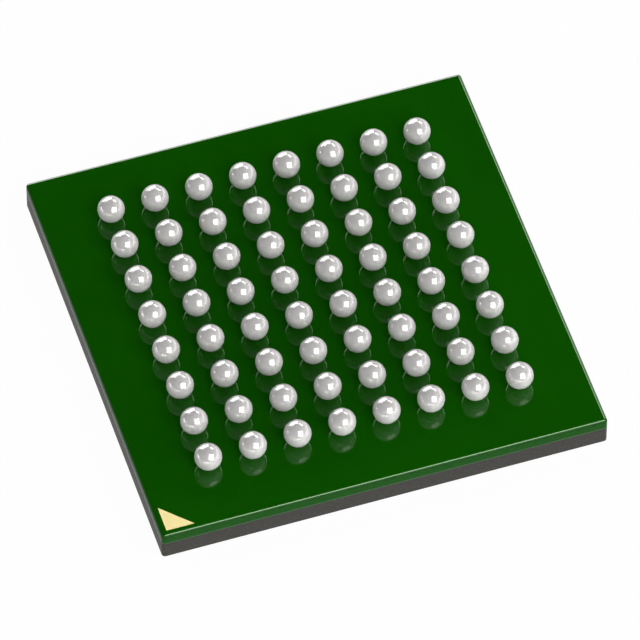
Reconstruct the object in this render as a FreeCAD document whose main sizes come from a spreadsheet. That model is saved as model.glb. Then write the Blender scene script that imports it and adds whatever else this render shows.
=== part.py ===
import FreeCAD
import Part
import Sketcher
import math
import os

# A ball grid array package lying on its moulded lid, with its solder balls up.
# Z is 0 on the flat face of the lid and grows towards the balls. X runs along a
# row of balls and Y from row A to the last row, and the origin is the middle of
# the lid's face. From the bottom up the package is an epoxy lid moulded over a
# silicon die and its bond wires, a green laminate board with solder mask on
# both faces, and one solder ball on each copper pad of the upper face.

# Driving dimensions, in millimetres apart from the two counts
SIZES = {
    # ball grid, square, with as many rows as balls in a row
    "balls_per_row": 8,
    "ball_pitch": 1.0,
    "ball_diameter": 0.6,
    # height of the full round's lowest point over the mask's surface
    "ball_lift": 0.01,
    "pad_diameter": 0.24,
    "pad_thickness": 0.012,
    # gap all round a pad in its mask opening
    "opening_gap": 0.02,
    # body, from the outer balls' centres to the body's sides
    "edge_margin": 1.5,
    "edge_radius": 0.08,
    "mask_thickness": 0.02,
    "laminate_thickness": 0.23,
    # first pin mark, and the flat strip left outside it
    "marker_leg": 0.625,
    "marker_margin": 0.06,
    # die, glued to the board with a film
    "die_side": 5.0,
    "die_thickness": 0.15,
    "attach_thickness": 0.02,
    # epoxy between the tops of the wire loops and the lid's face
    "cap_cover": 0.185,
    # bond wires, the same on all four sides of the die
    "bonds_per_side": 8,
    "bond_corner": 0.75,
    "bond_inset": 0.1,
    "wire_width": 0.025,
    "wire_rise": 0.105,
    "stitch_length": 0.06,
    # gold fingers of the board, from the die's side outwards
    "finger_gap": 0.45,
    "finger_length": 0.35,
    "finger_width": 0.1,
    "finger_thickness": 0.012,
    "window_margin": 0.1,
}

# Flat sides that stand for the round of a ball, and of a pad and its opening in the mask
BALL_SIDES = 10
PAD_SIDES = 6

# Angles above the waist at which a faceted ball has a ring of corners, and the share of its
# radius that its flat crown has
LOWER_RING = -38
UPPER_RINGS = (32, 58)
CROWN_SHARE = 0.23

# The package is square
BODY_SIDES = 4

# Rows are lettered as on the real thing, without the letters read as numbers
ROW_LETTERS = "abcdefghjklmnprtuvwy"

# Heights and places worked out from the driving dimensions
CAP_TOP = (
    "(Sizes.cap_cover + Sizes.wire_rise + Sizes.die_thickness + Sizes.attach_thickness)"
)
CORE_BASE = f"({CAP_TOP} + Sizes.mask_thickness)"
CORE_TOP = f"({CORE_BASE} + Sizes.laminate_thickness)"
BODY_TOP = f"({CORE_TOP} + Sizes.mask_thickness)"
GRID_SPAN = "((Sizes.balls_per_row - 1) * Sizes.ball_pitch)"
BODY_SIDE = f"({GRID_SPAN} + 2 * Sizes.edge_margin)"
BALL_RADIUS = "(Sizes.ball_diameter / 2)"
BALL_CENTRE = f"({BODY_TOP} + {BALL_RADIUS} + Sizes.ball_lift)"
PAD_TOP = f"({CORE_TOP} + Sizes.pad_thickness)"
DIE_TOP = f"({CAP_TOP} - Sizes.attach_thickness)"
DIE_FACE = f"({DIE_TOP} - Sizes.die_thickness)"
BOND_SPAN = "(Sizes.die_side - 2 * Sizes.bond_corner)"
BOND_PITCH = f"({BOND_SPAN} / (Sizes.bonds_per_side - 1))"
FINGER_START = "(Sizes.die_side / 2 + Sizes.finger_gap)"
FINGER_FACE = f"({CORE_BASE} - Sizes.finger_thickness)"


def sheet_of_sizes(doc):
    """One row of the spreadsheet for each driving dimension, with its name as alias."""
    sheet = doc.addObject("Spreadsheet::Sheet", "Sizes")
    for row, (name, value) in enumerate(SIZES.items(), start=1):
        sheet.set(f"A{row}", name)
        sheet.set(f"B{row}", str(value))
        sheet.setAlias(f"B{row}", name)
    doc.recompute()
    return sheet


def number(doc, expression):
    """The value of an expression as a plain number."""
    value = doc.getObject("Sizes").evalExpression(expression)
    return float(getattr(value, "Value", value))


def new_body(doc, label):
    """An empty body, which may end up as several separate solids."""
    body = doc.addObject("PartDesign::Body", label)
    body.Label = label
    body.AllowCompound = True
    return body


def origin_feature(body, role):
    """An origin plane or axis of a body, such as XY_Plane or Z_Axis."""
    return next(f for f in body.Origin.OriginFeatures if f.Role == role)


def add_feature(body, kind, name):
    """A new feature on top of the body's last one."""
    feature = body.newObject(f"PartDesign::{kind}", name)
    body.Tip = feature
    return feature


def new_sketch(body, name, role, **offset):
    """A sketch on an origin plane of its body, moved from it by expressions for x, y and z."""
    sketch = body.newObject("Sketcher::SketchObject", name)
    sketch.AttachmentSupport = (origin_feature(body, role), [""])
    sketch.MapMode = "FlatFace"
    for axis, expression in offset.items():
        sketch.setExpression(f"AttachmentOffset.Base.{axis}", expression)
    return sketch


def rectangle(left, right, front, back):
    """The four corners of a rectangle between two expressions for X and two for Y."""
    return [(left, front), (right, front), (right, back), (left, back)]


def draw_outline(sketch, corners):
    """Straight sides through corners, each corner held by an expression for its X and its Y."""
    doc = sketch.Document
    points = [FreeCAD.Vector(number(doc, x), number(doc, y), 0) for x, y in corners]
    count = len(points)
    for i in range(count):
        sketch.addGeometry(Part.LineSegment(points[i], points[(i + 1) % count]))
    for i in range(count):
        sketch.addConstraint(Sketcher.Constraint("Coincident", i, 2, (i + 1) % count, 1))
    for i, (corner, point) in enumerate(zip(corners, points)):
        for direction, expression, place in zip("XY", corner, point):
            held = Sketcher.Constraint(f"Distance{direction}", -1, 1, i, 1, place)
            index = sketch.addConstraint(held)
            sketch.setExpression(f"Constraints[{index}]", expression)


def draw_polygon_round(sketch, radius, flats):
    """A regular polygon whose sides touch a circle, which has an expression as its radius."""
    corner_radius = f"({radius}) / cos(180 / {flats})"
    start = number(sketch.Document, corner_radius)
    half_step = math.pi / flats
    turns = [(2 * i + 1) * half_step for i in range(flats)]
    points = [FreeCAD.Vector(start * math.cos(a), start * math.sin(a), 0) for a in turns]
    for i in range(flats):
        sketch.addGeometry(Part.LineSegment(points[i], points[(i + 1) % flats]))
    around = Part.Circle(FreeCAD.Vector(0, 0, 0), FreeCAD.Vector(0, 0, 1), start)
    circle = sketch.addGeometry(around, True)
    for i in range(flats):
        sketch.addConstraint(Sketcher.Constraint("Coincident", i, 2, (i + 1) % flats, 1))
        sketch.addConstraint(Sketcher.Constraint("PointOnObject", i, 1, circle))
    for i in range(1, flats):
        sketch.addConstraint(Sketcher.Constraint("Equal", 0, i))
    sketch.addConstraint(Sketcher.Constraint("Coincident", circle, 3, -1, 1))
    sketch.addConstraint(Sketcher.Constraint("Vertical", flats - 1))
    index = sketch.addConstraint(Sketcher.Constraint("Radius", circle, start))
    sketch.setExpression(f"Constraints[{index}]", corner_radius)


def pad(body, sketch, length):
    """The sketch made solid over a length."""
    feature = add_feature(body, "Pad", "Pad")
    feature.Profile = sketch
    feature.setExpression("Length", length)
    return feature


def row_pattern(body, originals, axis, count, step):
    """Copies in a row along an origin axis of the body."""
    pattern = add_feature(body, "LinearPattern", "Row")
    pattern.Originals = originals
    pattern.Direction = (origin_feature(body, axis), [""])
    pattern.Mode = "Spacing"
    pattern.setExpression("Occurrences", count)
    pattern.setExpression("Offset", step)
    return pattern


def round_pattern(body, originals, count):
    """Copies all round the upright axis."""
    pattern = add_feature(body, "PolarPattern", "Around")
    pattern.Originals = originals
    pattern.Axis = (origin_feature(body, "Z_Axis"), [""])
    pattern.Angle = 360
    pattern.Occurrences = count
    return pattern


def package_outline(doc):
    """The outer form of the whole body, which every layer is cut to: a square block with
    rounded upright edges and a rounded upper rim."""
    body = new_body(doc, "package_outline")
    sketch = new_sketch(body, "Square", "XY_Plane")
    half = f"({BODY_SIDE} / 2)"
    draw_outline(sketch, rectangle(f"-{half}", half, f"-{half}", half))
    block = pad(body, sketch, BODY_TOP)
    doc.recompute()
    top = number(doc, BODY_TOP)
    rounded = [
        f"Edge{i}"
        for i, edge in enumerate(block.Shape.Edges, start=1)
        if abs(edge.BoundBox.ZMax - top) < Part.Precision.confusion()
    ]
    fillet = add_feature(body, "Fillet", "RoundedEdges")
    fillet.Base = (block, rounded)
    fillet.setExpression("Radius", "Sizes.edge_radius")
    return body


def slab(doc, name, side, base, thickness):
    """A square plate centred on the package, from a base height."""
    plate = doc.addObject("Part::Box", name)
    plate.Label = name
    plate.setExpression("Length", side)
    plate.setExpression("Width", side)
    plate.setExpression("Height", thickness)
    plate.setExpression("Placement.Base.x", f"-{side} / 2")
    plate.setExpression("Placement.Base.y", f"-{side} / 2")
    plate.setExpression("Placement.Base.z", base)
    return plate


def layer(doc, label, outline, base, thickness):
    """The slice of the package outline between two heights."""
    wider = f"({BODY_SIDE} + 2 * Sizes.edge_radius)"
    part = doc.addObject("Part::Common", label)
    part.Label = label
    part.Base = outline
    part.Tool = slab(doc, f"{label}_slab", wider, base, thickness)
    return part


def joined(doc, name, shapes):
    """Several solids taken together as one tool."""
    fuse = doc.addObject("Part::MultiFuse", name)
    fuse.Shapes = shapes
    fuse.Refine = True
    return fuse


def cut(doc, label, base, tool):
    """One piece less the room that another takes."""
    part = doc.addObject("Part::Cut", label)
    part.Label = label
    part.Base = base
    part.Tool = tool
    return part


def grid_of_studs(doc, label, radius, height):
    """One upright stud at each ball position, standing on the laminate."""
    body = new_body(doc, label)
    first = f"-{GRID_SPAN} / 2"
    sketch = new_sketch(body, "Stud", "XY_Plane", x=first, y=first, z=CORE_TOP)
    draw_polygon_round(sketch, radius, PAD_SIDES)
    stud = pad(body, sketch, height)
    grid = add_feature(body, "LinearPattern", "Grid")
    grid.Originals = [stud]
    grid.Direction = (origin_feature(body, "X_Axis"), [""])
    grid.Direction2 = (origin_feature(body, "Y_Axis"), [""])
    for second in ("", "2"):
        grid.setExpression(f"Length{second}", GRID_SPAN)
        grid.setExpression(f"Occurrences{second}", "Sizes.balls_per_row")
    return body


def ball_profile():
    """Half of a faceted ball's upright section, from the middle of a foot's side to that of
    the crown's: a list of expressions for the distance from the axis and the height."""
    across = f"cos(180 / {BALL_SIDES})"
    foot = [(f"Sizes.pad_diameter / 2 * {across}", PAD_TOP)]
    crown = [(f"{BALL_RADIUS} * {CROWN_SHARE}", f"{BALL_CENTRE} + {BALL_RADIUS}")]
    rings = [
        (f"{BALL_RADIUS} * cos({angle}) * {across}", f"{BALL_CENTRE} + {BALL_RADIUS} * sin({angle})")
        for angle in (LOWER_RING, 0, *UPPER_RINGS)
    ]
    return foot + rings + crown


def solder_ball_row(doc):
    """The first row of solder balls. Each stands with its foot on its pad and keeps clear of
    the mask round it, as solder that wets only the metal does. A ball is a block with facets
    cut on it all round, each as wide as the block."""
    body = new_body(doc, f"solder_balls_row_{ROW_LETTERS[0]}")
    profile = ball_profile()
    foot = profile[0][1]
    crown = profile[-1][1]
    wide = "Sizes.ball_diameter"
    square = new_sketch(body, "Block", "XY_Plane", z=foot)
    draw_outline(square, rectangle(f"-{wide}", wide, f"-{wide}", wide))
    pad(body, square, f"{crown} - {foot}")
    beside = new_sketch(body, "Beside", "XZ_Plane")
    draw_outline(beside, [*profile, (f"2 * {wide}", crown), (f"2 * {wide}", foot)])
    facets = add_feature(body, "Pocket", "Facets")
    facets.Profile = beside
    facets.Type = "ThroughAll"
    facets.SideType = "Symmetric"
    round_pattern(body, [facets], BALL_SIDES)
    doc.recompute()
    row = row_pattern(body, [], "X_Axis", "Sizes.balls_per_row", "Sizes.ball_pitch")
    row.TransformMode = "Whole shape"
    place_row(body, 0)
    return body


def next_ball_row(doc, first_row, index):
    """Another row of balls, the same as the first and further back."""
    body = new_body(doc, f"solder_balls_row_{ROW_LETTERS[index]}")
    copy = add_feature(body, "FeatureBase", "SameRow")
    copy.BaseFeature = first_row
    place_row(body, index)
    return body


def place_row(body, index):
    """Puts a row of balls, modelled from the origin, on its row of pads."""
    body.setExpression("Placement.Base.x", f"-{GRID_SPAN} / 2")
    body.setExpression("Placement.Base.y", f"{index} * Sizes.ball_pitch - {GRID_SPAN} / 2")


def first_pin_marker(doc):
    """A gold plated copper triangle in the corner beside ball A1, level with the mask."""
    body = new_body(doc, "first_pin_marker")
    sketch = new_sketch(body, "Triangle", "XY_Plane", z=CORE_TOP)
    near = f"(Sizes.edge_radius + Sizes.marker_margin - {BODY_SIDE} / 2)"
    far = f"({near} + Sizes.marker_leg)"
    draw_outline(sketch, [(near, near), (far, near), (near, far)])
    pad(body, sketch, "Sizes.mask_thickness")
    return body


def bond_windows(doc):
    """The slots in the lower mask that bare the gold fingers, which the epoxy fills."""
    body = new_body(doc, "bond_windows")
    sketch = new_sketch(body, "Slot", "XY_Plane", z=CAP_TOP)
    inner = f"({FINGER_START} - Sizes.window_margin)"
    outer = f"({FINGER_START} + Sizes.finger_length + Sizes.window_margin)"
    half = f"({BOND_SPAN} / 2 + Sizes.finger_width / 2 + Sizes.window_margin)"
    draw_outline(sketch, rectangle(inner, outer, f"-{half}", half))
    slot = pad(body, sketch, "Sizes.mask_thickness")
    round_pattern(body, [slot], BODY_SIDES)
    return body


def bond_fingers(doc):
    """The board's gold plated bond fingers, a row on each side of the die."""
    body = new_body(doc, "bond_fingers")
    sketch = new_sketch(body, "Finger", "XY_Plane", y=f"-{BOND_SPAN} / 2", z=FINGER_FACE)
    outer = f"({FINGER_START} + Sizes.finger_length)"
    half = "(Sizes.finger_width / 2)"
    draw_outline(sketch, rectangle(FINGER_START, outer, f"-{half}", half))
    finger = pad(body, sketch, "Sizes.finger_thickness")
    all_sides = add_feature(body, "MultiTransform", "AllSides")
    all_sides.Originals = [finger]
    row = row_pattern(body, [], "Y_Axis", "Sizes.bonds_per_side", BOND_PITCH)
    all_sides.Transformations = [row, round_pattern(body, [], BODY_SIDES)]
    body.Tip = all_sides
    return body


def bond_wires(doc, side, quarter_turns):
    """Gold wires on one side of the die. Each rises from the die's face and slopes down past
    the die's edge to a flattened stitch on its finger."""
    body = new_body(doc, f"bond_wires_{side}")
    sketch = new_sketch(body, "Wire", "XZ_Plane", z=f"{BOND_SPAN} / 2")
    bond = "(Sizes.die_side / 2 - Sizes.bond_inset)"
    near, far = f"({bond} - Sizes.wire_width / 2)", f"({bond} + Sizes.wire_width / 2)"
    stitch = f"({FINGER_START} + Sizes.finger_length / 2)"
    heel = f"({stitch} - Sizes.stitch_length / 2)"
    toe = f"({stitch} + Sizes.stitch_length / 2)"
    loop_top = f"({DIE_FACE} - Sizes.wire_rise)"
    # both sides of the slope are parallel
    slope = f"(({FINGER_FACE} - {loop_top}) / ({toe} - {near}))"
    under_loop = f"({FINGER_FACE} - {slope} * ({heel} - {far}))"
    corners = [
        (near, DIE_FACE),
        (near, loop_top),
        (toe, FINGER_FACE),
        (heel, FINGER_FACE),
        (far, under_loop),
        (far, DIE_FACE),
    ]
    draw_outline(sketch, corners)
    wire = pad(body, sketch, "Sizes.wire_width")
    wire.SideType = "Symmetric"
    row_pattern(body, [wire], "Y_Axis", "Sizes.bonds_per_side", BOND_PITCH)
    turn = FreeCAD.Rotation(FreeCAD.Vector(0, 0, 1), 360 / BODY_SIDES * quarter_turns)
    body.Placement = FreeCAD.Placement(FreeCAD.Vector(), turn)
    return body


def build(doc):
    """All pieces of the package, in the order in which it is put together."""
    sheet_of_sizes(doc)
    outline = package_outline(doc)

    core = layer(doc, "laminate_core", outline, CORE_BASE, "Sizes.laminate_thickness")
    pad_radius = "Sizes.pad_diameter / 2"
    pads = grid_of_studs(doc, "ball_pads", pad_radius, "Sizes.pad_thickness")
    marker = first_pin_marker(doc)
    fingers = bond_fingers(doc)

    opening_radius = f"{pad_radius} + Sizes.opening_gap"
    openings = grid_of_studs(doc, "mask_openings", opening_radius, "Sizes.mask_thickness")
    upper_sheet = layer(doc, "upper_mask_sheet", outline, CORE_TOP, "Sizes.mask_thickness")
    upper_tool = joined(doc, "upper_mask_cutouts", [openings, marker])
    upper_mask = cut(doc, "ball_side_mask", upper_sheet, upper_tool)
    windows = bond_windows(doc)
    lower_sheet = layer(doc, "lower_mask_sheet", outline, CAP_TOP, "Sizes.mask_thickness")
    lower_mask = cut(doc, "die_side_mask", lower_sheet, windows)

    die = slab(doc, "silicon_die", "Sizes.die_side", DIE_FACE, "Sizes.die_thickness")
    film = slab(doc, "die_attach_film", "Sizes.die_side", DIE_TOP, "Sizes.attach_thickness")
    sides = ["right", "back", "left", "front"]
    wires = [bond_wires(doc, side, turns) for turns, side in enumerate(sides)]

    epoxy_layer = layer(doc, "epoxy_layer", outline, "0", CAP_TOP)
    epoxy = joined(doc, "epoxy_with_windows", [epoxy_layer, windows])
    inside = joined(doc, "moulded_in", [die, film, fingers, *wires])
    cap = cut(doc, "mould_cap", epoxy, inside)

    first_row = solder_ball_row(doc)
    count = int(number(doc, "Sizes.balls_per_row"))
    rows = [first_row] + [next_ball_row(doc, first_row, i) for i in range(1, count)]
    doc.recompute()
    return [core, pads, marker, fingers, upper_mask, lower_mask, die, film, *wires, cap, *rows]


def check(doc, pieces):
    """Stop if any object failed or a piece isn't a sound solid."""
    for thing in doc.Objects:
        if {"Invalid", "Error"} & set(thing.State):
            raise RuntimeError(f"{thing.Label} failed: {thing.State}")
    for piece in pieces:
        if piece.Shape.isNull() or not piece.Shape.isValid() or not piece.Shape.Solids:
            raise RuntimeError(f"{piece.Label} has no sound shape")


def write(pieces):
    """One STEP file for each piece, named after it."""
    os.makedirs("parts", exist_ok=True)
    for piece in pieces:
        piece.Shape.exportStep(f"parts/{piece.Label}.step")


document = FreeCAD.newDocument("ball_grid_package")
package = build(document)
check(document, package)
write(package)
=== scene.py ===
import math
import bmesh
import bpy
import numpy as np
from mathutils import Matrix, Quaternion, Vector


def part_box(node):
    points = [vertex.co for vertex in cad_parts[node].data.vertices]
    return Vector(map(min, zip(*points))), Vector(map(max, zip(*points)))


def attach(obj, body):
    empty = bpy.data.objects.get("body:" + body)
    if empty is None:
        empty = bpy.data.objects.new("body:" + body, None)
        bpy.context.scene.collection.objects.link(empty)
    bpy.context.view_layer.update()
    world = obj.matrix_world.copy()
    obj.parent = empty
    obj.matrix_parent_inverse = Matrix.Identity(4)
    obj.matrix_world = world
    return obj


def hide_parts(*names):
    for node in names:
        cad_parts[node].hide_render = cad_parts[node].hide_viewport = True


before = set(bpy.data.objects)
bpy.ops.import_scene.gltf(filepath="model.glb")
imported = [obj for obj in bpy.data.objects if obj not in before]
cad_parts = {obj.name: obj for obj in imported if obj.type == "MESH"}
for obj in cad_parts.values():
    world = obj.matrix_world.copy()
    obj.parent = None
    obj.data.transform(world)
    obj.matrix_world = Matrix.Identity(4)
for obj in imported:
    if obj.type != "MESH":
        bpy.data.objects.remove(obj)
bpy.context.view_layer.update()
MM = 0.001


# The moulded lid: black epoxy with fine silica, pressed over the die and the wires, then sawn
# through with the board, so its four sides are one plane with the board's.
LID_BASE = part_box("mould_cap")[0].z
LID_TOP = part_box("die_side_mask")[0].z
HALF_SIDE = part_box("laminate_core")[1].x
CORNER_RADIUS = 0.08 * MM
FLAT_HALF = HALF_SIDE - CORNER_RADIUS
PITCH = 1.0 * MM
BALLS_PER_ROW = 8
GRID_HALF = BALLS_PER_ROW / 2 * PITCH
STEPS_PER_PITCH = 8
STEPS_BESIDE_GRID = 4
STEPS_ROUND_CORNER = 10
LID_EDGE_BREAK = 0.012 * MM
LID_EDGE_STEPS = 4
MERGE_DISTANCE = 0.00001 * MM
SHARP_DEGREES = 35
LID_COLOUR = (0.0243, 0.0232, 0.0195)
LID_FLECK_COLOUR = (0.064, 0.062, 0.055)
LID_FLECKS_PER_MM = 16
LID_FLECK_SPAN = 0.5, 0.9
LID_GRAINS_PER_MM = 60
LID_GRAIN_DETAIL = 6.0
LID_GRAIN_DEPTH = 0.004 * MM
LID_GRAIN_STRENGTH = 0.35
LID_ROUGHNESS = 0.5, 0.68
LID_GLOSS = 0.28

# Places on an arc of a profile, in degrees
UP, OUT, DOWN = 0, 90, 180
# The part of noise's range in which most of it lies, and how many finer layers it has
NOISE_SPAN = 0.3, 0.7
NOISE_DETAIL = 4.0


def side_marks():
    """Where the mesh lines cross one side of the flat face: close together along the balls'
    grid, wider beside it, from one corner to just before the next."""
    beside = np.linspace(-FLAT_HALF, -GRID_HALF, STEPS_BESIDE_GRID + 1)[:-1]
    along = np.linspace(-GRID_HALF, GRID_HALF, BALLS_PER_ROW * STEPS_PER_PITCH + 1)
    return np.concatenate([beside, along, -beside[::-1]])


def body_loop():
    """The loop round the body's flat face, and the way that is outwards at each point of it.
    A side's points share one way out. At a corner the point stays and the way out turns by a
    quarter, point = corner, way = (cos a, sin a)."""
    marks = side_marks()
    front = np.stack([marks, np.full_like(marks, -FLAT_HALF)], 1)
    outwards = np.tile([0.0, -1.0], (len(marks), 1))
    turns = np.linspace(-math.pi / 2, 0, STEPS_ROUND_CORNER + 1)[1:-1]
    corner = np.tile([FLAT_HALF, -FLAT_HALF], (len(turns), 1))
    points = np.concatenate([front, corner])
    ways = np.concatenate([outwards, np.stack([np.cos(turns), np.sin(turns)], 1)])
    quarter = np.array([[0, 1], [-1, 0]])
    spins = [np.linalg.matrix_power(quarter, k) for k in range(4)]
    return np.concatenate([points @ s for s in spins]), np.concatenate([ways @ s for s in spins])


def lifted(flat, heights):
    """Points of the plane, all at one height or each row at its own."""
    upright = np.broadcast_to(heights, (*flat.shape[:-1], 1))
    return np.concatenate([flat, upright], -1)


def carried(profile, points, ways):
    """A profile carried along a loop: point = loop point + way x offset, at the profile's height.
    Gives a grid with one row for each point of the profile."""
    offsets, heights = np.array(profile).T[:, :, None, None]
    return lifted(points + ways * offsets, heights)


def quads_of(rows, columns, wraps, first):
    """The quads between neighbouring points of a grid, where a point's number is first + row x
    columns + column. Each row is closed on itself if the grid wraps."""
    index = first + np.arange(rows * columns).reshape(rows, columns)
    if wraps:
        index = np.concatenate([index, index[:, :1]], 1)
    corners = [index[:-1, :-1], index[:-1, 1:], index[1:, 1:], index[1:, :-1]]
    return np.stack(corners, 2).reshape(-1, 4)


def piece_of(name, grids, flat_faces=()):
    """One mesh from grids of points, each given as (points, wraps), and from flat faces over rows
    of them, each given as (grid, row, flipped)."""
    starts = np.cumsum([0] + [points.shape[0] * points.shape[1] for points, wraps in grids])
    faces = []
    for start, (points, wraps) in zip(starts, grids):
        faces += quads_of(*points.shape[:2], wraps, start).tolist()
    for grid, row, flipped in flat_faces:
        rows, columns = grids[grid][0].shape[:2]
        ring = starts[grid] + (row % rows) * columns + np.arange(columns)
        faces.append((ring[::-1] if flipped else ring).tolist())
    mesh = bpy.data.meshes.new(name)
    all_points = np.concatenate([points.reshape(-1, 3) for points, wraps in grids])
    mesh.from_pydata(all_points.tolist(), [], faces)
    join_points(mesh)
    piece = bpy.data.objects.new(name, mesh)
    bpy.context.scene.collection.objects.link(piece)
    return piece


def join_points(mesh):
    """Merges the points of a mesh that meet, and shades it round where its faces turn little."""
    work = bmesh.new()
    work.from_mesh(mesh)
    bmesh.ops.remove_doubles(work, verts=work.verts, dist=MERGE_DISTANCE)
    bmesh.ops.recalc_face_normals(work, faces=work.faces)
    work.to_mesh(mesh)
    work.free()
    mesh.shade_smooth()
    mesh.set_sharp_from_angle(angle=math.radians(SHARP_DEGREES))


def arc(centre_offset, centre_height, radius, start, end, steps):
    """Points on an arc of a profile, from one angle to another, in degrees from straight up:
    offset = centre + r sin a and height = centre + r cos a."""
    turns = np.radians(np.linspace(start, end, steps + 1))
    offsets = centre_offset + radius * np.sin(turns)
    heights = centre_height + radius * np.cos(turns)
    return list(zip(offsets, heights))


def new_finish(name):
    """A material, and its surface shader."""
    finish = bpy.data.materials.new(name)
    finish.use_nodes = True
    return finish, finish.node_tree.nodes["Principled BSDF"]


def join(finish, source, target):
    """Joins one node's output to another's input."""
    finish.node_tree.links.new(source, target)


def node(finish, kind, links=None, **values):
    """A node in a finish. links joins its inputs to other nodes' outputs, values sets the rest."""
    made = finish.node_tree.nodes.new("ShaderNode" + kind)
    for name, value in values.items():
        if hasattr(made, name):
            setattr(made, name, value)
        else:
            made.inputs[name.replace("_", " ")].default_value = value
    for name, source in (links or {}).items():
        join(finish, source, made.inputs[name])
    return made


def speckle(finish, cells_per_mm, detail=NOISE_DETAIL):
    """Noise fixed to the piece, with so many cells to a millimetre."""
    place = node(finish, "TexCoord").outputs["Object"]
    return node(finish, "TexNoise", {"Vector": place}, Scale=cells_per_mm / MM, Detail=detail)


def vary(finish, noise, target, low, high, span=NOISE_SPAN):
    """Lets noise vary a shader's socket between two colours or two greys, in a ramp."""
    ramp = node(finish, "ValToRGB", {"Fac": noise.outputs["Fac"]})
    for stop, position, shade in zip(ramp.color_ramp.elements, span, (low, high)):
        stop.position = position
        stop.color = (*shade, 1) if isinstance(shade, tuple) else (shade, shade, shade, 1)
    join(finish, ramp.outputs["Color"], target)


def emboss(finish, noise, shader, strength, depth):
    """Lets noise raise and sink the surface in the shading, by so much of a depth."""
    relief = node(finish, "Bump", {"Height": noise.outputs["Fac"]}, Strength=strength, Distance=depth)
    join(finish, relief.outputs["Normal"], shader.inputs["Normal"])


def dress(piece, finish):
    """The finish in every slot of a piece."""
    piece.data.materials.clear()
    piece.data.materials.append(finish)


edge_break = arc(
    CORNER_RADIUS - LID_EDGE_BREAK,
    LID_BASE + LID_EDGE_BREAK,
    LID_EDGE_BREAK,
    DOWN,
    OUT,
    LID_EDGE_STEPS,
)
lid = piece_of(
    "moulded_lid",
    [(carried([*edge_break, (CORNER_RADIUS, LID_TOP)], *body_loop()), True)],
    [(0, 0, True), (0, -1, False)],
)
epoxy, shader = new_finish("moulding_epoxy")
grain = speckle(epoxy, LID_GRAINS_PER_MM, LID_GRAIN_DETAIL)
flecks = speckle(epoxy, LID_FLECKS_PER_MM)
vary(epoxy, flecks, shader.inputs["Base Color"], LID_COLOUR, LID_FLECK_COLOUR, LID_FLECK_SPAN)
vary(epoxy, grain, shader.inputs["Roughness"], *LID_ROUGHNESS)
shader.inputs["Specular IOR Level"].default_value = LID_GLOSS
emboss(epoxy, grain, shader, LID_GRAIN_STRENGTH, LID_GRAIN_DEPTH)
dress(lid, epoxy)
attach(lid, "root")
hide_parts("mould_cap")


# The silicon die and the film that glues it to the board: a polished grey chip with its circuit
# face towards the lid, on a thin cured film. Both are moulded in and not seen.
DIE_COLOUR = (0.15, 0.16, 0.19)
DIE_PALE_COLOUR = (0.23, 0.24, 0.28)
DIE_PATCHES_PER_MM = 8
DIE_METALLIC = 0.6
DIE_ROUGHNESS = 0.18
FILM_COLOUR = (0.48, 0.43, 0.35)
FILM_PALE_COLOUR = (0.6, 0.55, 0.46)
FILM_PATCHES_PER_MM = 12
FILM_ROUGHNESS = 0.5

silicon, shader = new_finish("silicon")
mottle = speckle(silicon, DIE_PATCHES_PER_MM)
vary(silicon, mottle, shader.inputs["Base Color"], DIE_COLOUR, DIE_PALE_COLOUR)
shader.inputs["Metallic"].default_value = DIE_METALLIC
shader.inputs["Roughness"].default_value = DIE_ROUGHNESS
dress(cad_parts["silicon_die"], silicon)

film, shader = new_finish("die_film")
mottle = speckle(film, FILM_PATCHES_PER_MM)
vary(film, mottle, shader.inputs["Base Color"], FILM_COLOUR, FILM_PALE_COLOUR)
shader.inputs["Roughness"].default_value = FILM_ROUGHNESS
dress(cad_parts["die_attach_film"], film)


# Bond wires and the board's bond fingers: drawn gold wire, stitched to copper plated with soft
# gold, on all four sides of the die. The epoxy holds them.
GOLD_COLOUR = (0.86, 0.6, 0.22)
GOLD_PALE_COLOUR = (0.96, 0.74, 0.34)
GOLD_GRAINS_PER_MM = 90
GOLD_ROUGHNESS = 0.16, 0.3

gold, shader = new_finish("bond_gold")
drawn = speckle(gold, GOLD_GRAINS_PER_MM)
vary(gold, drawn, shader.inputs["Base Color"], GOLD_COLOUR, GOLD_PALE_COLOUR)
vary(gold, drawn, shader.inputs["Roughness"], *GOLD_ROUGHNESS)
shader.inputs["Metallic"].default_value = 1.0
for side in ("right", "back", "left", "front"):
    dress(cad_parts[f"bond_wires_{side}"], gold)
dress(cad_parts["bond_fingers"], gold)


# The laminate board: glass cloth in green tinted epoxy, sawn at its edges, where the plies show
# as fine level lines. Its upper edge is broken in a small round, which goes on in the mask.
BOARD_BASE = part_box("laminate_core")[0].z
BOARD_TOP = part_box("laminate_core")[1].z
MASK_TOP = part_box("ball_side_mask")[1].z
RIM_CENTRE = MASK_TOP - CORNER_RADIUS
RIM_SPLIT = math.degrees(math.acos((BOARD_TOP - RIM_CENTRE) / CORNER_RADIUS))
RIM_STEPS = 8
BOARD_COLOUR = (0.0057, 0.0585, 0.0038)
BOARD_PLY_COLOUR = (0.009, 0.073, 0.0056)
PLY_PATCHES_PER_MM = 4
PLY_FLATNESS = 12
PLY_DETAIL = 5.0
PLY_DEPTH = 0.003 * MM
PLY_STRENGTH = 0.2
BOARD_ROUGHNESS = 0.3, 0.45
BOARD_GLOSS = 0.06

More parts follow.
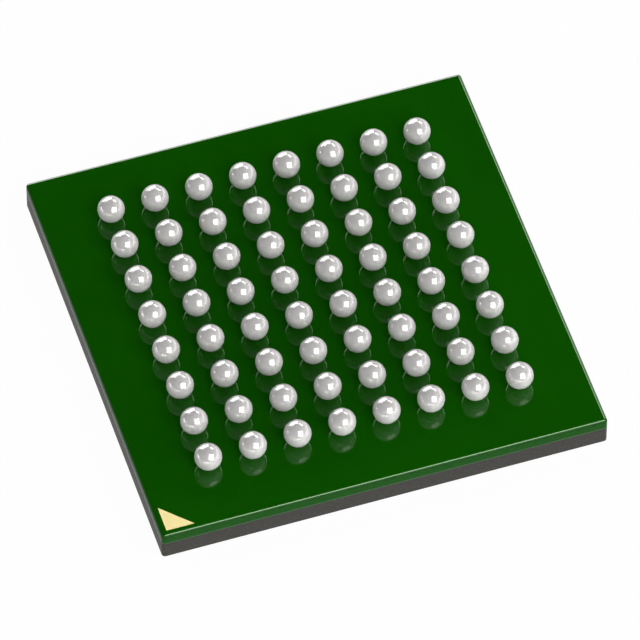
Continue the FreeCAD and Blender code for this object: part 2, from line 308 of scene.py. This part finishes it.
board_rim = arc(0, RIM_CENTRE, CORNER_RADIUS, RIM_SPLIT, OUT, RIM_STEPS)
board = piece_of(
    "laminate_board",
    [(carried([*board_rim, (CORNER_RADIUS, BOARD_BASE)], *body_loop()), True)],
    [(0, 0, False), (0, -1, True)],
)
laminate, shader = new_finish("glass_epoxy")
place = node(laminate, "TexCoord").outputs["Object"]
flattened = node(laminate, "Mapping", {"Vector": place}, Scale=(1, 1, PLY_FLATNESS)).outputs["Vector"]
plies = node(laminate, "TexNoise", {"Vector": flattened}, Scale=PLY_PATCHES_PER_MM / MM, Detail=PLY_DETAIL)
vary(laminate, plies, shader.inputs["Base Color"], BOARD_COLOUR, BOARD_PLY_COLOUR)
vary(laminate, plies, shader.inputs["Roughness"], *BOARD_ROUGHNESS)
emboss(laminate, plies, shader, PLY_STRENGTH, PLY_DEPTH)
shader.inputs["Specular IOR Level"].default_value = BOARD_GLOSS
dress(board, laminate)
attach(board, "root")
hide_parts("laminate_core")


# Solder mask: a clear glossy green resin printed on both faces of the board. The upper one is
# open round each ball's pad and over the first pin mark. The openings for the balls have soft
# lips from the printing.
OPENING_RADIUS = 0.14 * MM
LIP_RADIUS = 0.006 * MM
LIP_STEPS = 4
# Where the mesh lines lie, as shares of the way from an opening to the edge of its cell
UPPER_SHARES = 1, 0.4, 0.1
UNDER_SHARES = 0, 0.4, 1
MARK_SHARES = 0, 0.5, 1
MARK_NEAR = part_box("first_pin_marker")[0].x
MARK_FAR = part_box("first_pin_marker")[1].x
MASK_COLOUR = (0.0052, 0.093, 0.0003)
MASK_DEEP_COLOUR = (0.0046, 0.086, 0.0003)
MASK_DRIFTS_PER_MM = 0.6
MASK_RIPPLES_PER_MM = 2.5
MASK_DETAIL = 2.0
MASK_RIPPLE_DEPTH = 0.002 * MM
MASK_RIPPLE_STRENGTH = 0.02
MASK_ROUGHNESS = 0.02, 0.05
MASK_IOR = 1.52
MASK_GLOSS_TINT = (0.85, 1, 0.8, 1)


def centres():
    """The middles of all balls, row by row from row A: a ball's place is its number in the row,
    counted from the row's middle, x the pitch."""
    marks = (np.arange(BALLS_PER_ROW) - (BALLS_PER_ROW - 1) / 2) * PITCH
    across, back = np.meshgrid(marks, marks)
    return np.stack([across.ravel(), back.ravel()], 1)


def copies(grid, places):
    """A grid that wraps, repeated at each of the places."""
    return [(grid + [x, y, 0], True) for x, y in places]


def square_loop(low, high, steps):
    """Points round a square, the same number on each side, anticlockwise from the low corner."""
    marks = np.linspace(low, high, steps + 1)[:-1]
    lows, highs = np.full(steps, low), np.full(steps, high)
    back = (low + high) - marks
    x = np.concatenate([marks, highs, back, lows])
    y = np.concatenate([lows, marks, highs, back])
    return np.stack([x, y], 1)


def bands(inner, outer, shares, height):
    """Rows of points between two closed loops, at one height, with one row for each share:
    point = inner + share x (outer - inner)."""
    return lifted(inner + (outer - inner) * np.array(shares)[:, None, None], height)


def patch(x_marks, y_marks, height):
    """A flat grid at one height."""
    return lifted(np.stack(np.meshgrid(x_marks, y_marks), 2), height)


cell_edge = square_loop(-PITCH / 2, PITCH / 2, STEPS_PER_PITCH)
outwards = cell_edge / np.linalg.norm(cell_edge, axis=1, keepdims=True)
lip_foot = outwards * (OPENING_RADIUS + LIP_RADIUS)
lip = arc(0, MASK_TOP - LIP_RADIUS, LIP_RADIUS, UP, OUT, LIP_STEPS)
upper_face = bands(lip_foot, cell_edge, UPPER_SHARES, MASK_TOP)
under_face = bands(outwards * OPENING_RADIUS, cell_edge, UNDER_SHARES, BOARD_TOP)
cell = np.concatenate([upper_face, carried(lip, lip_foot, -outwards), under_face])
grids = copies(cell, centres())

mark_corners = np.array([[MARK_NEAR, MARK_NEAR], [MARK_FAR, MARK_NEAR], [MARK_NEAR, MARK_FAR]])
mark_middle = (mark_corners[1] + mark_corners[2]) / 2
mark_turns = [mark_corners[0], mark_corners[1], mark_middle, mark_corners[2], mark_corners[0]]
mark_sides = [
    np.linspace(start, end, STEPS_BESIDE_GRID + 1)[:-1]
    for start, end in zip(mark_turns, mark_turns[1:])
]
mark_loop = np.concatenate(mark_sides)
mark_cell_edge = square_loop(-FLAT_HALF, -GRID_HALF, STEPS_BESIDE_GRID)
upper_face = bands(mark_loop, mark_cell_edge, MARK_SHARES[::-1], MASK_TOP)
under_face = bands(mark_loop, mark_cell_edge, MARK_SHARES, BOARD_TOP)
grids.append((np.concatenate([upper_face, under_face]), True))

grid_marks = np.linspace(-GRID_HALF, GRID_HALF, BALLS_PER_ROW * STEPS_PER_PITCH + 1)
near_marks = np.linspace(-FLAT_HALF, -GRID_HALF, STEPS_BESIDE_GRID + 1)
far_marks = -near_marks[::-1]
beside_grid = [(grid_marks, near_marks), (grid_marks, far_marks)]
beside_grid += [(near_marks, grid_marks), (far_marks, grid_marks)]
other_corners = [(far_marks, near_marks), (far_marks, far_marks), (near_marks, far_marks)]
for height in (MASK_TOP, BOARD_TOP):
    for x_marks, y_marks in beside_grid + other_corners:
        grids.append((patch(x_marks, y_marks, height), False))

mask_rim = arc(0, RIM_CENTRE, CORNER_RADIUS, UP, RIM_SPLIT, RIM_STEPS)
grids.append((carried([*mask_rim, (0, BOARD_TOP)], *body_loop()), True))
mask = piece_of("ball_side_solder_mask", grids)

resin, shader = new_finish("solder_mask")
drift = speckle(resin, MASK_DRIFTS_PER_MM, MASK_DETAIL)
ripple = speckle(resin, MASK_RIPPLES_PER_MM, MASK_DETAIL)
vary(resin, drift, shader.inputs["Base Color"], MASK_DEEP_COLOUR, MASK_COLOUR)
vary(resin, ripple, shader.inputs["Roughness"], *MASK_ROUGHNESS)
emboss(resin, ripple, shader, MASK_RIPPLE_STRENGTH, MASK_RIPPLE_DEPTH)
shader.inputs["IOR"].default_value = MASK_IOR
shader.inputs["Specular Tint"].default_value = MASK_GLOSS_TINT
dress(mask, resin)
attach(mask, "root")
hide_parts("ball_side_mask")
dress(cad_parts["die_side_mask"], resin)


# The first pin mark: a triangle of copper left bare of mask in the corner beside ball A1, with
# a pale flash of gold.
MARK_COLOUR = (1.0, 0.84, 0.35)
MARK_RUBBED_COLOUR = (0.94, 0.78, 0.32)
MARK_RUBS_PER_MM = 25
MARK_ROUGHNESS = 0.35, 0.5
MARK_METALLIC = 0.1

flash, shader = new_finish("marker_gold")
rub = speckle(flash, MARK_RUBS_PER_MM)
vary(flash, rub, shader.inputs["Base Color"], MARK_RUBBED_COLOUR, MARK_COLOUR)
vary(flash, rub, shader.inputs["Roughness"], *MARK_ROUGHNESS)
shader.inputs["Metallic"].default_value = MARK_METALLIC
dress(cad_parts["first_pin_marker"], flash)


# Ball pads: round copper lands, etched from the foil on the board and plated so that the solder
# wets them. Each stands clear of its opening in the mask, and its ball hides it.
PAD_RADIUS = 0.12 * MM
PAD_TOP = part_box("ball_pads")[1].z
PAD_STEPS_ROUND = 24
PAD_COLOUR = (0.6, 0.5, 0.4)
PAD_PALE_COLOUR = (0.72, 0.66, 0.58)
PAD_STAINS_PER_MM = 20
PAD_ROUGHNESS = 0.3


def turned(profile, steps):
    """A profile turned round the upright axis: x = r cos a, y = r sin a, at its height."""
    turns = np.linspace(0, 2 * math.pi, steps, endpoint=False)
    return carried(profile, 0, np.stack([np.cos(turns), np.sin(turns)], 1))


pad_side = [(PAD_RADIUS, BOARD_TOP), (PAD_RADIUS, PAD_TOP)]
one_pad = turned([(0, BOARD_TOP), *pad_side, (0, PAD_TOP)], PAD_STEPS_ROUND)
pads = piece_of("ball_pads_plated", copies(one_pad, centres()))
copper, shader = new_finish("pad_copper")
tarnish = speckle(copper, PAD_STAINS_PER_MM)
vary(copper, tarnish, shader.inputs["Base Color"], PAD_COLOUR, PAD_PALE_COLOUR)
shader.inputs["Metallic"].default_value = 1.0
shader.inputs["Roughness"].default_value = PAD_ROUGHNESS
dress(pads, copper)
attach(pads, "root")
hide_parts("ball_pads")


# Solder balls: dropped on the pads as spheres and melted on, so that surface tension keeps them
# round down to a short neck at the pad. The skin is bright, with a faint grain of its crystals.
BALL_RADIUS = 0.3 * MM
BALL_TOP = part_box("solder_balls_row_a")[1].z
BALL_CENTRE = BALL_TOP - BALL_RADIUS
NECK_RADIUS = 0.115 * MM
BALL_STEPS_ROUND = 48
BALL_STEPS_DOWN = 26
NECK_STEPS = 3
SOLDER_COLOUR = (0.585, 0.57, 0.56)
SOLDER_BRIGHT_COLOUR = (0.635, 0.62, 0.61)
CRYSTALS_PER_MM = 14
CRYSTAL_DETAIL = 5.0
CRYSTAL_DEPTH = 0.001 * MM
CRYSTAL_STRENGTH = 0.05
SOLDER_ROUGHNESS = 0.07, 0.12
SOLDER_METALLIC = 0.08
SOLDER_IOR = 1.55

neck_turn = DOWN - math.degrees(math.asin(NECK_RADIUS / BALL_RADIUS))
sphere = arc(0, BALL_CENTRE, BALL_RADIUS, UP, neck_turn, BALL_STEPS_DOWN)
neck_top = sphere[-1][1]
neck = [(NECK_RADIUS, z) for z in np.linspace(neck_top, PAD_TOP, NECK_STEPS + 1)[1:]]
one_ball = turned([*sphere, *neck, (0, PAD_TOP)], BALL_STEPS_ROUND)

solder, shader = new_finish("solder")
crystals = speckle(solder, CRYSTALS_PER_MM, CRYSTAL_DETAIL)
vary(solder, crystals, shader.inputs["Base Color"], SOLDER_COLOUR, SOLDER_BRIGHT_COLOUR)
vary(solder, crystals, shader.inputs["Roughness"], *SOLDER_ROUGHNESS)
shader.inputs["Metallic"].default_value = SOLDER_METALLIC
shader.inputs["IOR"].default_value = SOLDER_IOR
emboss(solder, crystals, shader, CRYSTAL_STRENGTH, CRYSTAL_DEPTH)

rows = centres().reshape(BALLS_PER_ROW, BALLS_PER_ROW, 2)
for letter, row in zip("abcdefgh", rows):
    balls = piece_of(f"solder_balls_{letter}", copies(one_ball, row))
    dress(balls, solder)
    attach(balls, "root")
    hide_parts(f"solder_balls_row_{letter}")


# The table: a wide white sheet. Seen by the camera, and in gloss, it is plain white with a faint
# shadow of the package. The light that it throws back is that of matt paper.
TABLE_HALF = 1.5
TABLE_GAP = 0.0005 * MM
TABLE_COLOUR = (0.9, 0.9, 0.9, 1)
TABLE_ROUGHNESS = 0.9
TABLE_SHADOW_SHARE = 0.03


def combine(finish, operation, first, second):
    """The larger, the sum or the product of two nodes' outputs."""
    return node(finish, "Math", {0: first, 1: second}, operation=operation).outputs[0]


mesh = bpy.data.meshes.new("table")
table_corners = lifted(square_loop(-TABLE_HALF, TABLE_HALF, 1), LID_BASE - TABLE_GAP)
mesh.from_pydata(table_corners.tolist(), [], [(0, 1, 2, 3)])
table = bpy.data.objects.new("table", mesh)
bpy.context.scene.collection.objects.link(table)
paper, shader = new_finish("table_white")
shader.inputs["Base Color"].default_value = TABLE_COLOUR
shader.inputs["Roughness"].default_value = TABLE_ROUGHNESS
glow = node(paper, "Emission", Color=(1, 1, 1, 1), Strength=1.0)
ray = node(paper, "LightPath").outputs
seen = combine(paper, "MAXIMUM", ray["Is Camera Ray"], ray["Is Glossy Ray"])
seen = combine(paper, "MAXIMUM", seen, ray["Is Transmission Ray"])
share = node(paper, "MapRange", {"Value": seen}, To_Max=1 - TABLE_SHADOW_SHARE).outputs["Result"]
mix = node(paper, "MixShader", {0: share, 1: shader.outputs[0], 2: glow.outputs[0]})
join(paper, mix.outputs[0], paper.node_tree.nodes["Material Output"].inputs["Surface"])
dress(table, paper)


# The lamps: a soft box in front on the right, two behind, and broad dim fills all round, which
# together light a level face at about the level of white paper. Each box is also a glint, a
# brighter lamp of the same form that only gloss shows, and two low strips are glints alone.
LIGHT_DISTANCE = 0.3
GLINT_DISTANCE = 0.27


def towards(azimuth, elevation):
    """The direction at so many degrees from the back, turning right, and above the table:
    x = sin a cos e, y = cos a cos e, z = sin e."""
    a, e = math.radians(azimuth), math.radians(elevation)
    return Vector((math.sin(a) * math.cos(e), math.cos(a) * math.cos(e), math.sin(e)))


def lamp(name, distance, azimuth, elevation, width, height, brightness, turn=0):
    """A lamp turned in its own plane, as bright as so many times white paper. An angle seen from
    the part gives the size 2 x distance x tan(angle / 2). A face of radiance b and area s gives
    out the power b x pi x s."""
    data = bpy.data.lights.new(name, "AREA")
    data.shape = "RECTANGLE"
    data.size = 2 * distance * math.tan(math.radians(width / 2))
    data.size_y = 2 * distance * math.tan(math.radians(height / 2))
    data.energy = brightness * math.pi * data.size * data.size_y
    box = bpy.data.objects.new(name, data)
    bpy.context.scene.collection.objects.link(box)
    way = towards(azimuth, elevation)
    box.location = way * distance
    facing = way.to_track_quat("Z", "Y") @ Quaternion((0, 0, 1), math.radians(turn))
    box.rotation_euler = facing.to_euler()
    box.visible_camera = False
    return box


def light(name, **place):
    """A lamp that gloss doesn't show."""
    lamp(name, LIGHT_DISTANCE, **place).visible_glossy = False


def glint(name, **place):
    """A lamp that only gloss shows. It stands nearer, so that no other lamp hides it."""
    lamp(name, GLINT_DISTANCE, **place).visible_diffuse = False


front_box = {"azimuth": 162, "elevation": 41.5, "width": 41, "height": 45, "turn": -23}
back_box = {"azimuth": -5, "elevation": 17, "width": 47, "height": 52, "turn": 6}
right_box = {"azimuth": 46.5, "elevation": 39.5, "width": 28, "height": 15, "turn": -5}
light("front_box", brightness=2.55, **front_box)
glint("front_box_glint", brightness=10.0, **front_box)
light("back_box", brightness=1.5, **back_box)
glint("back_box_glint", brightness=7.0, **back_box)
light("right_box", brightness=2.6, **right_box)
glint("right_box_glint", brightness=8.0, **right_box)
glint("front_strip", azimuth=-158, elevation=3, width=56, height=4, brightness=7.0)
glint("left_strip", azimuth=-74, elevation=4, width=30, height=8, brightness=6.0)
light("left_fill", azimuth=-95, elevation=14, width=90, height=30, brightness=0.9)
light("front_fill", azimuth=172, elevation=5, width=90, height=24, brightness=2.7)
light("right_fill", azimuth=95, elevation=14, width=80, height=30, brightness=1.05)
light("ceiling_fill", azimuth=18, elevation=80, width=110, height=90, brightness=0.2)


# The room: a bright line where the table ends, on all sides but the back, a pale wall on the
# right and a black ceiling. Its heights and sides are the z, x and y of a direction.
TABLE_LINE_TOP = 0.14
TABLE_LINE_LEVEL = 2.0
TABLE_LINE_FULL, TABLE_LINE_NONE = 0.4, 0.5
WALL_FULL_TO, WALL_TOP = 0.2, 0.4
WALL_START, WALL_FULL_FROM = 0.2, 0.9
WALL_LEVEL = 2.4


def ramp(finish, source, start, end, low=0, high=1):
    """A node's output, turned into a value that goes from low at the start to high at the end."""
    span = {"From_Min": start, "From_Max": end, "To_Min": low, "To_Max": high}
    return node(finish, "MapRange", {"Value": source}, **span).outputs["Result"]


room = bpy.data.worlds.new("room")
bpy.context.scene.world = room
room.use_nodes = True
room.node_tree.nodes.clear()
direction = node(room, "TexCoord").outputs["Generated"]
side = node(room, "SeparateXYZ", {"Vector": direction}).outputs
line = ramp(room, side["Z"], 0, TABLE_LINE_TOP, TABLE_LINE_LEVEL, 0)
line = combine(room, "MULTIPLY", line, ramp(room, side["Y"], TABLE_LINE_NONE, TABLE_LINE_FULL))
wall = ramp(room, side["Z"], WALL_FULL_TO, WALL_TOP, WALL_LEVEL, 0)
wall = combine(room, "MULTIPLY", wall, ramp(room, side["X"], WALL_START, WALL_FULL_FROM))
level = combine(room, "ADD", wall, line)
shine = node(room, "Background", {"Strength": level}, Color=(1, 1, 1, 1))
join(room, shine.outputs[0], node(room, "OutputWorld").inputs["Surface"])


# The camera: a long lens, from the front on the left and well above, held upright. Its place was
# fitted to the outlines of all 64 balls, and it is aimed at the height of their middles.
CAMERA_AZIMUTH = 180 + 17.9585
CAMERA_ELEVATION = 52.9643
CAMERA_DISTANCE = 197.966 * MM
CAMERA_AIM = Vector((-0.1115 * MM, -0.7659 * MM, BALL_CENTRE))
LENS_MM = 517.37
SENSOR_WIDTH_MM = 36
NEAREST_SEEN = 0.01
FARTHEST_SEEN = 10

lens = bpy.data.cameras.new("camera")
lens.lens = LENS_MM
lens.sensor_width = SENSOR_WIDTH_MM
lens.clip_start = NEAREST_SEEN
lens.clip_end = FARTHEST_SEEN
camera = bpy.data.objects.new("camera", lens)
bpy.context.scene.collection.objects.link(camera)
way = towards(CAMERA_AZIMUTH, CAMERA_ELEVATION)
camera.location = CAMERA_AIM + way * CAMERA_DISTANCE
camera.rotation_euler = way.to_track_quat("Z", "Y").to_euler()
bpy.context.scene.camera = camera
bpy.context.scene.view_settings.view_transform = "Standard"
